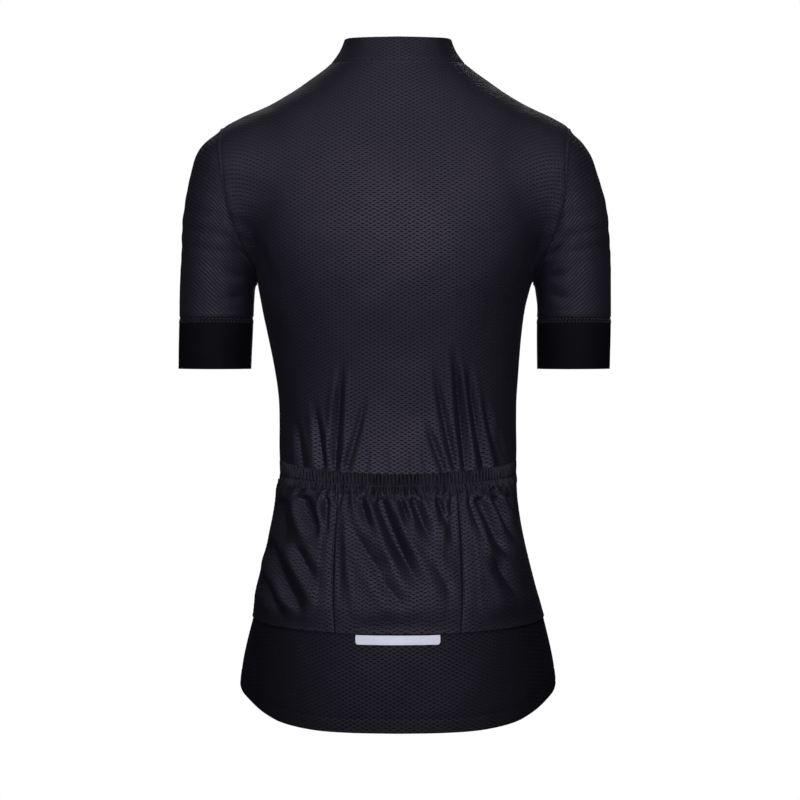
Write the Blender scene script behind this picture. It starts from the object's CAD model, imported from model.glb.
"""A women's short-sleeved cycling jersey, filled out and empty, built around its fixed frame.

The tables and functions work in millimetres and the meshes are in metres. +X is the wearer's left, -Y the
front, +Z up, and the origin lies between the tops of the shoulders. The cloth is a set of thin shells on one
body form: a stack of torso sections blended with two sleeve forms.
"""

import math
from types import SimpleNamespace

import bmesh
import bpy
import numpy as np
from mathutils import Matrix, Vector


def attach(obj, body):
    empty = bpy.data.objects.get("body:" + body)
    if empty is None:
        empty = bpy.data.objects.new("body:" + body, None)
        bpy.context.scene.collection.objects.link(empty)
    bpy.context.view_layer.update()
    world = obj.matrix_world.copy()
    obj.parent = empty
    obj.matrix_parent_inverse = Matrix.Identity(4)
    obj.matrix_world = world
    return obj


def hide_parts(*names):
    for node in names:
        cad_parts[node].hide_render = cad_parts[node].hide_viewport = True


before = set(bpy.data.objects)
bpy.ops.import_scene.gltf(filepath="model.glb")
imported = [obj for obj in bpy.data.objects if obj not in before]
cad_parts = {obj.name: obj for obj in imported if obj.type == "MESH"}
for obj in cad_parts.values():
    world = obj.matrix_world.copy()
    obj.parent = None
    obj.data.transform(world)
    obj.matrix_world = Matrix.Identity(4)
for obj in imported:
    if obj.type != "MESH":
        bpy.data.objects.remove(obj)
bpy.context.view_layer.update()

# Cloth and seams
SHELL = 0.9
SOLID_WALL = 1.4
SEAM_LAP = 0.3
LAID_ON = 0.45
FRONT_EDGE_X = 3.5

# Cells of the sheets between the rows and columns of the solids
BACK_COLUMN_CELLS = 6
FRONT_COLUMN_CELLS = 3
LOW_ROW_CELLS = 7
HIGH_ROW_CELLS = 8
FRONT_ROW_CELLS = 6
SLEEVE_ROUND_CELLS = 8
SLEEVE_ROW_CELLS = 8

# Spans of the solids' grids
NECK_SPANS = 8
SHOULDER_SPANS = 12
ARMHOLE_SPANS = 10
SLEEVE_SPANS = 9
HEM_SPANS = 4

# Heights and turns
ARMPIT_Z = -190
ARMHOLE_CENTRE_Z = -112
CUFF_TOP_Z = -224
CUFF_BOTTOM_Z = -273
SHOULDER_SEAM_DEG = 112
NECK_SIDE_DEG = 100
SIDE_HEM_Z = -578
FRONT_HEM_Z = -560
FRONT_RISE_FROM_Z = -470
SIDE_RISE_POWER = 2.2


def smooth_table(columns, rows):
    """A table whose first column is looked up: each other column becomes a smooth function of it."""
    data = np.array(rows, float)
    x = data[:, 0]
    last = len(x) - 1
    before = np.maximum(np.arange(len(x)) - 1, 0)
    after = np.minimum(np.arange(len(x)) + 1, last)

    def curve_through(y):
        slope = (y[after] - y[before]) / (x[after] - x[before])

        def curve(at):
            at = np.clip(at, x[0], x[-1])
            i = np.clip(np.searchsorted(x, at, side="right") - 1, 0, last - 1)
            span = x[i + 1] - x[i]
            t = (at - x[i]) / span
            rise = (3 - 2 * t) * t * t
            lead = span * t * (1 - t)
            return y[i] * (1 - rise) + y[i + 1] * rise + lead * ((1 - t) * slope[i] - t * slope[i + 1])

        return curve

    return SimpleNamespace(**{name: curve_through(data[:, k]) for k, name in enumerate(columns[1:], 1)})


# The torso's horizontal sections: half width, reach to the back and to the front, squareness of the oval
TORSO = smooth_table(
    ["z", "side", "back", "front", "power"],
    [
        [-640, 156, 106.5, 103.5, 2.4],
        [-600, 155.5, 107.5, 104, 2.4],
        [-575, 154, 108, 104.5, 2.4],
        [-550, 150, 107.6, 104.5, 2.4],
        [-520, 142.8, 105.5, 104.5, 2.4],
        [-490, 134.6, 101.5, 103.8, 2.35],
        [-460, 127, 96, 102.5, 2.3],
        [-430, 120.4, 88.5, 100, 2.28],
        [-400, 116.2, 80, 96.5, 2.25],
        [-375, 115.4, 74.8, 94.2, 2.25],
        [-350, 116, 71.8, 93.6, 2.25],
        [-325, 115.9, 71.6, 95.4, 2.25],
        [-300, 116.5, 74, 99.5, 2.28],
        [-270, 119.8, 79, 107, 2.32],
        [-240, 124.2, 85.5, 115, 2.38],
        [-210, 129.5, 92.2, 121, 2.45],
        [-180, 136, 97.5, 120.5, 2.5],
        [-150, 143, 99.8, 114, 2.5],
        [-120, 150, 99, 103, 2.4],
        [-90, 157, 95, 89, 2.3],
        [-65, 160, 89.5, 76.5, 2.2],
        [-45, 157, 83.5, 66, 2.1],
        [-30, 145.5, 78.5, 59.5, 2.05],
        [-20, 132, 75, 56, 2],
        [-10, 115.5, 71, 53.5, 2],
        [0, 99, 67, 52, 2],
        [10, 85, 62.5, 51, 2],
        [20, 72, 58, 50, 2],
        [27, 64.2, 55, 49.5, 2],
        [45, 56, 50, 48, 2],
    ],
)

# The sleeve form: where its middle line runs, and its half width across the arm
SLEEVE = smooth_table(
    ["z", "x", "y", "radius"],
    [
        [-330, 176, -7, 35.2],
        [-285, 176, -5, 35.5],
        [-240, 175.5, -3, 36.2],
        [-203, 174.6, -1, 36.6],
        [-168, 171.4, 0, 39],
        [-127, 163.2, 0, 45],
        [-86, 149.5, 0, 49],
    ],
)
SLEEVE_DEPTH = 1.15
SLEEVE_AXIS_Z = np.linspace(-86, -330, 17)

# How softly the sleeve runs into the torso: crisp in the armpit, soft over the shoulder
BLEND_LOW = 3
BLEND_HIGH = 30
BLEND_LOW_Z = -186
BLEND_HIGH_Z = -112
ARMHOLE_RELEASE = 0.9

# How far from the middle the armhole seam lies
ARMHOLE = smooth_table(
    ["z", "x"],
    [
        [-200, 135.2],
        [-186, 135.4],
        [-172, 139.8],
        [-156, 147],
        [-127, 157.5],
        [-103, 163],
        [-75, 165.5],
        [-39, 168],
        [-10, 169],
    ],
)

# The neckline and the collar's top edge, by the turn round the neck from the middle of the back
NECK = smooth_table(
    ["turn", "seam_z", "top_z", "top_x", "top_y"],
    [
        [0, 22.5, 46.2, 0, 46],
        [45, 23.5, 47.2, 37, 32],
        [75, 24.3, 48.6, 51, 9],
        [90, 24.5, 46, 53, -6],
        [105, 20.5, 39.5, 50.6, -21],
        [120, 9.5, 30, 44.5, -34.5],
        [140, -11, 16, 33, -47],
        [160, -30.5, 3, 18, -55],
        [180, -38, -3, 0, -57.5],
    ],
)
COLLAR_FLARE = 1.7

# The wearer's left shoulder, arm and flank stand out a little further: how far they are moved to the left
LEAN = smooth_table(
    ["z", "torso", "sleeve"],
    [
        [-640, 0, 0],
        [-340, 0, 0],
        [-290, 0.5, 3.6],
        [-265, 1.8, 3.6],
        [-240, 3.3, 3.1],
        [-215, 4.1, 2.6],
        [-190, 3.2, 2.6],
        [-147, 1.9, 1.9],
        [-107, 2.9, 2.9],
        [-60, 4.4, 4.4],
        [-46, 3.1, 3.1],
        [-28, 0.9, 0.9],
        [0, 0, 0],
    ],
)

# The back panel's rows below the armpit, by their height in the middle and at the side seam
BACK_ROWS = smooth_table(
    ["row", "middle", "side"],
    [
        [0, -524, -513],
        [1, -498, -489],
        [2, -472, -465],
        [3, -446, -440],
        [4, -418, -411],
        [5, -390, -380],
        [6, -374.5, -364.5],
        [7, -357, -349],
        [8, -338, -332],
        [9, -319, -314],
        [10, -300, -296],
        [11, -281, -278],
        [12, -260, -258],
        [13, -237, -236],
        [14, -213, -213],
        [15, ARMPIT_Z, ARMPIT_Z],
    ],
)
LOW_SPANS = 15
ELASTIC_ROW = 5

# The hem, from the side seam to the middle of the back
HEM = smooth_table(
    ["turn", "z"],
    [
        [0, -578],
        [8, -584.5],
        [15.5, -590.5],
        [25.7, -601.8],
        [34, -609.3],
        [48, -614.9],
        [64, -616.8],
        [90, -617.4],
    ],
)

# How far behind the widest line the side seam runs
SIDE_SEAM_Y = smooth_table(
    ["z", "y"],
    [[-640, 14], [-500, 14], [-360, 12], [-250, 8], [ARMPIT_Z, 0], [0, 0]],
)

# Creases by their x and z at one end, the middle and the other end, then depth, half width and how much of
# the length each end takes to run out
BACK_CREASES = [
    [-34, -262, -42, -312, -55, -368, 3.0, 3.0, 0.5, 0],
    [-52, -250, -58, -300, -65, -370, 4.6, 3.2, 0.45, 0],
    [-66, -262, -73, -312, -84, -368, 4.4, 3.4, 0.45, 0],
    [-25, -318, -34, -345, -44, -371, 2.6, 2.8, 0.5, 0],
    [-80, -292, -89, -330, -100, -366, 3.0, 3.6, 0.5, 0],
    [-96, -318, -100, -345, -108, -366, 1.8, 3.4, 0.5, 0],
    [52, -262, 57, -310, 61, -368, 4.6, 3.4, 0.5, 0],
    [28, -290, 38, -330, 49, -368, 2.8, 2.8, 0.5, 0],
    [80, -300, 76, -340, 71, -368, 3.4, 3.4, 0.5, 0],
    [99, -318, 95, -345, 92, -368, 2.4, 3.4, 0.5, 0],
    [11.4, -344, 11, -358, 10.5, -372, 0.9, 1.8, 0.3, 0],
    [-12, -354, -13, -362, -14, -373, 0.6, 2.0, 0.4, 0],
    [27, -348, 29, -360, 31, -372, 0.8, 2.2, 0.4, 0],
    [-22, -348, -25, -360, -28, -372, 0.8, 2.2, 0.4, 0],
    [-3, -357, -3, -365, -4, -373, 0.4, 2.0, 0.4, 0],
]
FRONT_CREASES = [
    [34, -292, 40, -338, 52, -386, 2.4, 3.6, 0.5, 0.3],
    [58, -284, 64, -332, 74, -384, 3.0, 4.0, 0.5, 0.3],
    [84, -296, 87, -338, 94, -378, 2.2, 4.0, 0.5, 0.3],
    [46, -330, 56, -362, 70, -392, 1.6, 3.6, 0.4, 0.4],
    [126, -196, 108, -222, 82, -238, 1.8, 5.5, 0.3, 0.6],
    [122, -214, 108, -246, 96, -276, 1.4, 5.5, 0.3, 0.6],
    [70, -420, 82, -462, 98, -500, 1.6, 6.0, 0.5, 0.5],
    [40, -432, 46, -482, 56, -528, 1.2, 6.5, 0.5, 0.5],
]
ARMPIT_CREASES = [
    [134, -150, 126, -178, 118, -216, 1.5, 5, 0.3, 0.5],
    [141, -134, 136, -160, 131, -186, 1.2, 4.4, 0.4, 0.4],
    [128, -200, 121, -226, 116, -262, 1.0, 6, 0.5, 0.5],
]


SLEEVE_CREASES = [
    [142, -168, 153, -160, 170, -146, 1.7, 3.6, 0.5, 0.5],
    [143, -184, 155, -184, 176, -176, 1.6, 3.8, 0.5, 0.5],
    [144, -198, 156, -204, 176, -206, 1.3, 4.2, 0.5, 0.5],
    [148, -150, 156, -136, 166, -112, 1.5, 3.6, 0.4, 0.6],
    [150, -214, 162, -218, 178, -216, 0.8, 5, 0.5, 0.5],
]


def shares(count):
    return np.linspace(0, 1, count + 1)


def lerp(a, b, t):
    return a + (b - a) * t


def smoothstep(x, low, high):
    t = np.clip((x - low) / (high - low), 0, 1)
    return t * t * (3 - 2 * t)


def length_of(v):
    return np.linalg.norm(v, axis=-1)


def unit(v):
    return v / np.maximum(length_of(v)[..., None], 1e-9)


# The body form


def torso_reach(dx, dy, z):
    """Reach of the torso's section from its axis, in a direction seen from above."""
    power = TORSO.power(z)
    depth = np.where(dy > 0, TORSO.back(z), TORSO.front(z))
    return (np.abs(dx / TORSO.side(z)) ** power + np.abs(dy / depth) ** power) ** (-1 / power)


def torso_point(turn, z):
    dx, dy = np.cos(np.radians(turn)), np.sin(np.radians(turn))
    reach = torso_reach(dx, dy, z)
    return np.stack([dx * reach, dy * reach, z + 0 * reach], -1)


def torso_gap(p):
    """Distance outside the torso, near enough for blending, negative inside."""
    x, y, z = np.moveaxis(p, -1, 0)
    away = np.maximum(np.hypot(x, y), 1e-3)
    dx, dy = x / away, y / away
    slope = (torso_reach(dx, dy, z + 1) - torso_reach(dx, dy, z - 1)) / 2
    return (away - torso_reach(dx, dy, z)) / np.hypot(1, slope)


SLEEVE_AXIS = np.stack([SLEEVE.x(SLEEVE_AXIS_Z), SLEEVE.y(SLEEVE_AXIS_Z) / SLEEVE_DEPTH, SLEEVE_AXIS_Z], -1)
SLEEVE_RADIUS = SLEEVE.radius(SLEEVE_AXIS_Z)


def sleeve_gap(p):
    """Distance outside the nearer sleeve form."""
    q = np.stack([np.abs(p[..., 0]), p[..., 1] / SLEEVE_DEPTH, p[..., 2]], -1)
    gap = np.full(q.shape[:-1], np.inf)
    for a, b, near, far in zip(SLEEVE_AXIS, SLEEVE_AXIS[1:], SLEEVE_RADIUS, SLEEVE_RADIUS[1:]):
        run = b - a
        t = np.clip((q - a) @ run / (run @ run), 0, 1)
        gap = np.minimum(gap, length_of(q - a - t[..., None] * run) - lerp(near, far, t))
    return gap


def soft_min(a, b, softness):
    h = np.maximum(softness - np.abs(a - b), 0) / softness
    return np.minimum(a, b) - h * h * softness / 4


def softness_at(z):
    return lerp(BLEND_LOW, BLEND_HIGH, smoothstep(z, BLEND_LOW_Z, BLEND_HIGH_Z))


def body_gap(p):
    return soft_min(torso_gap(p), sleeve_gap(p), softness_at(p[..., 2]))


def arm_gap(p):
    """The same beyond the armhole, where the torso counts less and less."""
    beyond = np.maximum(0, np.abs(p[..., 0]) - ARMHOLE.x(p[..., 2]))
    return soft_min(torso_gap(p) + ARMHOLE_RELEASE * beyond, sleeve_gap(p), softness_at(p[..., 2]))


def on_surface(gap, start, steps=10):
    """The nearest points where the form's surface lies, from points close to it."""
    p = start.copy()
    probe = 0.25 * np.eye(3)
    for _ in range(steps):
        slope = np.stack([(gap(p + d) - gap(p - d)) / 0.5 for d in probe], -1)
        p -= 0.9 * (gap(p) / (slope**2).sum(-1))[..., None] * slope
    return p


def along(path, at):
    """Points on a path at given shares of its length."""
    t = shares(80)
    lengths = np.concatenate([[0], np.cumsum(length_of(np.diff(path(t), axis=0)))])
    return path(np.interp(np.asarray(at) * lengths[-1], lengths, t))


# The seams


def armhole_point(turn):
    """Points of the armhole seam, by turn from straight back (0) over the top (90) or under the arm (-90)."""
    dy, dz = np.cos(np.radians(turn)), np.sin(np.radians(turn))

    def at(reach):
        z = ARMHOLE_CENTRE_Z + dz * reach
        return np.stack([ARMHOLE.x(z), dy * reach, z], -1)

    inside = np.zeros_like(dy)
    walking = np.ones(dy.shape, bool)
    while walking.any():
        walking &= body_gap(at(inside + 2)) < 0
        inside = inside + 2 * walking
    outside = inside + 2
    for _ in range(20):
        middle = (inside + outside) / 2
        within = body_gap(at(middle)) < 0
        inside = np.where(within, middle, inside)
        outside = np.where(within, outside, middle)
    return at(inside)


def armhole_halves(cells):
    """The armhole seam from the armpit to the shoulder seam, over the back and over the front."""
    at = shares(ARMHOLE_SPANS * cells) ** 1.15
    back = along(lambda t: armhole_point(lerp(-90, SHOULDER_SEAM_DEG, t)), at)
    front = along(lambda t: armhole_point(lerp(-90, SHOULDER_SEAM_DEG - 360, t)), at)
    return at, back, front


def neckline_point(turn):
    return torso_point(90 - turn, NECK.seam_z(turn))


FRONT_EDGE_TURN = 180 - math.degrees(math.asin(FRONT_EDGE_X / float(TORSO.front(NECK.seam_z(180)))))
SHOULDER_TIP = armhole_point(np.array([SHOULDER_SEAM_DEG], float))[0]
NECK_SIDE = neckline_point(np.array([NECK_SIDE_DEG], float))[0]


def shoulder_point(t):
    return on_surface(body_gap, lerp(NECK_SIDE, SHOULDER_TIP, np.asarray(t)[:, None]))


def panel_columns(cells):
    """Column places across half a panel, closer together where the creases are."""
    s = shares((NECK_SPANS + SHOULDER_SPANS) * cells)
    return s + 0.064 * np.sin(2 * np.pi * s)


def side_turn(z):
    return np.degrees(np.arctan2(SIDE_SEAM_Y.y(z), TORSO.side(z)))


def back_row(row, columns):
    middle, side = BACK_ROWS.middle(row), BACK_ROWS.side(row)
    return along(
        lambda t: torso_point(lerp(90, side_turn(side), t), lerp(middle, side, t**SIDE_RISE_POWER)),
        columns,
    )


def front_row(middle, side, columns):
    def path(t):
        z = lerp(middle, side, smoothstep(t, 0, 1))
        start = np.degrees(np.arctan2(-TORSO.front(z), FRONT_EDGE_X))
        return torso_point(lerp(start, side_turn(side), t), z)

    return along(path, columns)


def upper_grid(bottom, top, middle, armhole, u, v):
    """Grid between four edges on the body form, from the armpit row up and outwards from the middle."""
    u, v = u[None, :, None], v[:, None, None]
    p = lerp(bottom[None], top[None], v) + lerp(middle[:, None], armhole[:, None], u)
    p = p - lerp(lerp(bottom[0], bottom[-1], u), lerp(top[0], top[-1], u), v)
    q = on_surface(body_gap, p)
    q[:, 0, 0] = middle[:, 0]
    q[0], q[-1], q[:, -1] = bottom, top, armhole
    return q


def mirrored(points):
    return points * np.array([-1, 1, 1])


def whole_width(half):
    """Mirrors half a grid to the wearer's right and joins the halves, from right to left."""
    return np.concatenate([mirrored(half)[:, :0:-1], half], axis=1)


def leaning(p):
    """Moves cloth to the wearer's left by the lean of its place."""
    aside, z = np.abs(p[..., 0]), p[..., 2]
    lean = lerp(LEAN.torso(z), LEAN.sleeve(z), smoothstep(aside, 132, 136))
    return p + np.stack([lean * smoothstep(aside, 50, 122), 0 * z, 0 * z], -1)


def back_half():
    cells = BACK_COLUMN_CELLS
    columns = panel_columns(cells)
    v, armhole, _ = armhole_halves(HIGH_ROW_CELLS)
    rows = np.linspace(0, LOW_SPANS, LOW_SPANS * LOW_ROW_CELLS + 1)
    lower = np.stack([back_row(row, columns) for row in rows])
    lower[-1, -1] = armhole[0]
    middle = along(lambda t: torso_point(90 + 0 * t, lerp(ARMPIT_Z, NECK.seam_z(0), t)), v)
    neck = along(lambda t: neckline_point(t * NECK_SIDE_DEG), shares(NECK_SPANS * cells))
    share = columns[NECK_SPANS * cells]
    shoulder = along(shoulder_point, (columns[NECK_SPANS * cells :] - share) / (1 - share))
    upper = upper_grid(lower[-1], np.concatenate([neck, shoulder[1:]]), middle, armhole, columns, v)
    return np.concatenate([lower, upper[1:]])


def front_half():
    cells = FRONT_COLUMN_CELLS
    columns = panel_columns(cells)
    v, _, armhole = armhole_halves(FRONT_ROW_CELLS)
    hem_sides = np.linspace(SIDE_HEM_Z, BACK_ROWS.side(0), HEM_SPANS * FRONT_ROW_CELLS + 1)
    rows = np.linspace(0, LOW_SPANS, LOW_SPANS * FRONT_ROW_CELLS + 1)
    sides = np.concatenate([hem_sides[:-1], BACK_ROWS.side(rows)])
    low = np.clip((FRONT_RISE_FROM_Z - sides) / (FRONT_RISE_FROM_Z - SIDE_HEM_Z), 0, 1)
    middles = sides + low * (FRONT_HEM_Z - SIDE_HEM_Z)
    lower = np.stack([front_row(middle, side, columns) for middle, side in zip(middles, sides)])
    lower[-1, -1] = armhole[0]
    neck = along(lambda t: neckline_point(lerp(FRONT_EDGE_TURN, NECK_SIDE_DEG, t)), shares(NECK_SPANS * cells))

    def front_middle(t):
        z = lerp(ARMPIT_Z, neck[0, 2], t)
        return torso_point(np.degrees(np.arctan2(-TORSO.front(z), FRONT_EDGE_X)), z)

    share = columns[NECK_SPANS * cells]
    shoulder = along(shoulder_point, (columns[NECK_SPANS * cells :] - share) / (1 - share))
    top = np.concatenate([neck, shoulder[1:]])
    upper = upper_grid(lower[-1], top, along(front_middle, v), armhole, columns, v)
    return np.concatenate([lower, upper[1:]])


def hem_half(top):
    """Half the hem panel, from the hem up to the pocket seam."""
    turn = np.degrees(np.arctan2(top[:, 1], top[:, 0]))
    start = side_turn(SIDE_HEM_Z)
    hem_z = HEM.z(90 * (turn - start) / (90 - start))
    rows = []
    for v in shares(HEM_SPANS * 10)[:-1]:
        z = lerp(hem_z, top[:, 2], v)
        turns = turn.copy()
        turns[-1] = side_turn(z[-1])
        rows.append(torso_point(turns, z))
    return np.stack([*rows, top])


def collar_half():
    cells = 4
    back = along(lambda t: neckline_point(t * NECK_SIDE_DEG), shares(NECK_SPANS * cells))
    front = along(lambda t: neckline_point(lerp(FRONT_EDGE_TURN, NECK_SIDE_DEG, t)), shares(NECK_SPANS * cells))
    base = np.concatenate([back, front[-2::-1]])
    turn = np.degrees(np.arctan2(base[:, 0], base[:, 1]))
    top = np.stack([NECK.top_x(turn), NECK.top_y(turn), NECK.top_z(turn)], -1)
    v = shares(20)[:, None, None]
    p = lerp(base[None], top[None], v)
    out = unit(p * np.array([1, 1, 0]))
    to_the_side = np.sin(np.radians(turn))[None, :, None] ** 2
    return p - COLLAR_FLARE * to_the_side * np.sin(np.pi * v) * out


def cuff_ring(turn, z):
    """Points round the arm at a height, by their turn from straight back."""
    back, up = np.cos(np.radians(turn)), np.sin(np.radians(turn))
    reach = SLEEVE.radius(z)
    start = np.stack([SLEEVE.x(z) + up * reach, SLEEVE.y(z) + back * reach * SLEEVE_DEPTH, z + 0 * up], -1)
    return on_surface(sleeve_gap, start)


def sleeve_and_cuff():
    _, back, front = armhole_halves(SLEEVE_ROUND_CELLS)
    ring = np.concatenate([back, front[-2:0:-1]])
    turns = -90 + np.arange(len(ring)) * 360 / len(ring)
    end = cuff_ring(turns, float(CUFF_TOP_Z))
    dense = on_surface(arm_gap, lerp(ring[None], end[None], shares(80)[:, None, None]))
    dense[0] = ring
    steps = length_of(np.diff(dense, axis=0))
    lengths = np.concatenate([np.zeros((1, len(ring))), np.cumsum(steps, axis=0)])
    at = shares(SLEEVE_SPANS * SLEEVE_ROW_CELLS)
    sleeve = np.empty((len(at), len(ring), 3))
    for c in range(len(ring)):
        wanted = at * lengths[-1, c]
        for axis in range(3):
            sleeve[:, c, axis] = np.interp(wanted, lengths[:, c], dense[:, c, axis])
    cuff = np.stack([cuff_ring(turns, lerp(CUFF_TOP_Z, CUFF_BOTTOM_Z, v)) for v in shares(24)])
    cuff[0] = sleeve[-1]
    return sleeve, cuff


# Sheets of cloth


class Cloth:
    """A sheet as a grid of points with outward directions, and its lengths along the rows and up the columns."""

    def __init__(self, points, inside, wraps=False):
        self.points, self.wraps = points, wraps
        closed = np.concatenate([points, points[:, :1]], axis=1) if wraps else points
        self.u = self.lengths(closed, 1)
        self.v = self.lengths(closed, 0)
        if wraps:
            across = np.roll(points, -1, axis=1) - np.roll(points, 1, axis=1)
        else:
            across = np.gradient(points, axis=1)
        normals = unit(np.cross(np.gradient(points, axis=0), across))
        self.facing = 1 if (normals * (points - inside)).sum() > 0 else -1
        self.normals = normals * self.facing

    @staticmethod
    def lengths(points, axis):
        steps = length_of(np.diff(points, axis=axis))
        start = np.zeros_like(steps[:1] if axis == 0 else steps[:, :1])
        lengths = np.concatenate([start, np.cumsum(steps, axis=axis)], axis=axis)
        return lengths if axis == 0 else lengths - lengths[:, [lengths.shape[1] // 2]]

    def place(self, row, column):
        """Points and outward directions between rows and columns."""
        row, column = np.broadcast_arrays(np.asarray(row, float), np.asarray(column, float))
        r = np.clip(np.floor(row).astype(int), 0, self.points.shape[0] - 2)
        t = (row - r)[..., None]
        count = self.points.shape[1]
        if self.wraps:
            c = np.floor(column).astype(int) % count
            s = (column - np.floor(column))[..., None]
            d = (c + 1) % count
        else:
            c = np.clip(np.floor(column).astype(int), 0, count - 2)
            s = (column - c)[..., None]
            d = c + 1
        found = []
        for grid in (self.points, self.normals):
            found.append(lerp(lerp(grid[r, c], grid[r, d], s), lerp(grid[r + 1, c], grid[r + 1, d], s), t))
        return found[0], unit(found[1])

    def from_edges(self):
        """How far each point lies from the bottom, top, first and last edge."""
        v, u = self.v, self.u
        if self.wraps:
            v, u = v[:, :-1], u[:, :-1]
        far = np.full_like(v, 1e3)
        sides = (far, far) if self.wraps else (u - u[:, :1], u[:, -1:] - u)
        return v, v[-1:] - v, *sides

    def raised(self, relief):
        """The sheet with its points moved out, each by its own distance."""
        sheet = Cloth.__new__(Cloth)
        sheet.__dict__.update(self.__dict__)
        sheet.points = self.points + relief[..., None] * self.normals
        if self.wraps:
            across = np.roll(sheet.points, -1, axis=1) - np.roll(sheet.points, 1, axis=1)
        else:
            across = np.gradient(sheet.points, axis=1)
        sheet.normals = unit(np.cross(np.gradient(sheet.points, axis=0), across)) * self.facing
        return sheet


def seam_dip(cloth, edges, depth=0.55, width=1.7):
    """Relief that rolls a sheet's edges in at the named seams."""
    named = dict(zip(("bottom", "top", "first", "last"), cloth.from_edges()))
    return sum(-depth * np.exp(-((named[edge] / width) ** 2)) for edge in edges)


def held_flat(cloth, edges, width=9.0):
    """A share that falls to nothing at the named seams, so that neighbouring sheets meet."""
    named = dict(zip(("bottom", "top", "first", "last"), cloth.from_edges()))
    share = 1.0
    for edge in edges:
        share = share * (1 - np.exp(-((named[edge] / width) ** 2)))
    return share


def seam_ridge(cloth, distance=3.2):
    """The turned-in cloth of a seam, seen as a low ridge beside the bottom edge."""
    return 0.9 * np.exp(-(((cloth.from_edges()[0] - distance) / 1.5) ** 2))


def hem_line(cloth, distance=14.5):
    """The shallow line that a hem's stitches press into the cloth."""
    return -0.35 * np.exp(-(((cloth.from_edges()[0] - distance) / 1.3) ** 2))


def lapped(points, wraps=False):
    """Draws a grid's edges out by half the seams' lap."""
    p = points.copy()
    p[0] -= SEAM_LAP / 2 * unit(points[1] - points[0])
    p[-1] -= SEAM_LAP / 2 * unit(points[-2] - points[-1])
    if not wraps:
        p[:, 0] -= SEAM_LAP / 2 * unit(points[:, 1] - points[:, 0])
        p[:, -1] -= SEAM_LAP / 2 * unit(points[:, -2] - points[:, -1])
    return p


def crease_relief(creases, p, sides=False):
    """Depth of the creases at points: soft troughs with a low ridge on each side, run out at their ends."""
    x = np.abs(p[..., 0]) if sides else p[..., 0]
    flat = np.stack([x, p[..., 2]], -1)
    relief = np.zeros(flat.shape[:-1])
    for x0, z0, x1, z1, x2, z2, depth, width, run_in, run_out in creases:
        ends = np.array([[x0, z0], [x2, z2]], float)
        bend = 2 * np.array([x1, z1]) - ends.mean(0)
        t = shares(12)[:, None]
        line = (1 - t) ** 2 * ends[0] + 2 * t * (1 - t) * bend + t * t * ends[1]
        nearest = np.full(relief.shape, np.inf)
        place = np.zeros(relief.shape)
        for i, (a, b) in enumerate(zip(line, line[1:])):
            run = b - a
            s = np.clip((flat - a) @ run / (run @ run), 0, 1)
            away = length_of(flat - a - s[..., None] * run)
            place = np.where(away < nearest, (i + s) / 12, place)
            nearest = np.minimum(nearest, away)
        q = nearest / (width * (0.75 + 0.4 * place))
        fade = smoothstep(place, 0, run_in) if run_in else 1.0
        if run_out:
            fade = fade * smoothstep(1 - place, 0, run_out)
        relief += depth * fade * (0.3 * np.exp(-((q - 2.1) ** 2)) - np.exp(-(q**1.35)))
    return relief


def undulation(p, seed, height, longest=90.0, shortest=28.0, waves=9):
    """Slow unevenness of soft cloth: a few waves of different lengths and directions."""
    random = np.random.RandomState(seed)
    relief = np.zeros(p.shape[:-1])
    for _ in range(waves):
        turn, phase = random.uniform(0, np.pi), random.uniform(0, 2 * np.pi)
        size = random.uniform(shortest, longest)
        run = p[..., 0] * np.cos(turn) + p[..., 2] * np.sin(turn) + 0.6 * p[..., 1]
        relief += np.sin(2 * np.pi * run / size + phase) * size / longest
    return height * relief / math.sqrt(waves)


# Meshes


def new_object(name, mesh, material):
    mesh.materials.append(material)
    made = bpy.data.objects.new(name, mesh)
    bpy.context.scene.collection.objects.link(made)
    return made


def mesh_from(name, points, faces, material, uv=None, sharp_deg=50):
    """An object from points in millimetres and faces, with cloth coordinates in metres at the faces' corners."""
    mesh = bpy.data.meshes.new(name)
    mesh.from_pydata((np.asarray(points) / 1000).tolist(), [], np.asarray(faces).tolist())
    mesh.shade_smooth()
    mesh.set_sharp_from_angle(angle=math.radians(sharp_deg))
    if uv is not None:
        layer = mesh.uv_layers.new(name="cloth")
        layer.data.foreach_set("uv", (np.asarray(uv) / 1000).ravel())
    return new_object(name, mesh, material)


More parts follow.
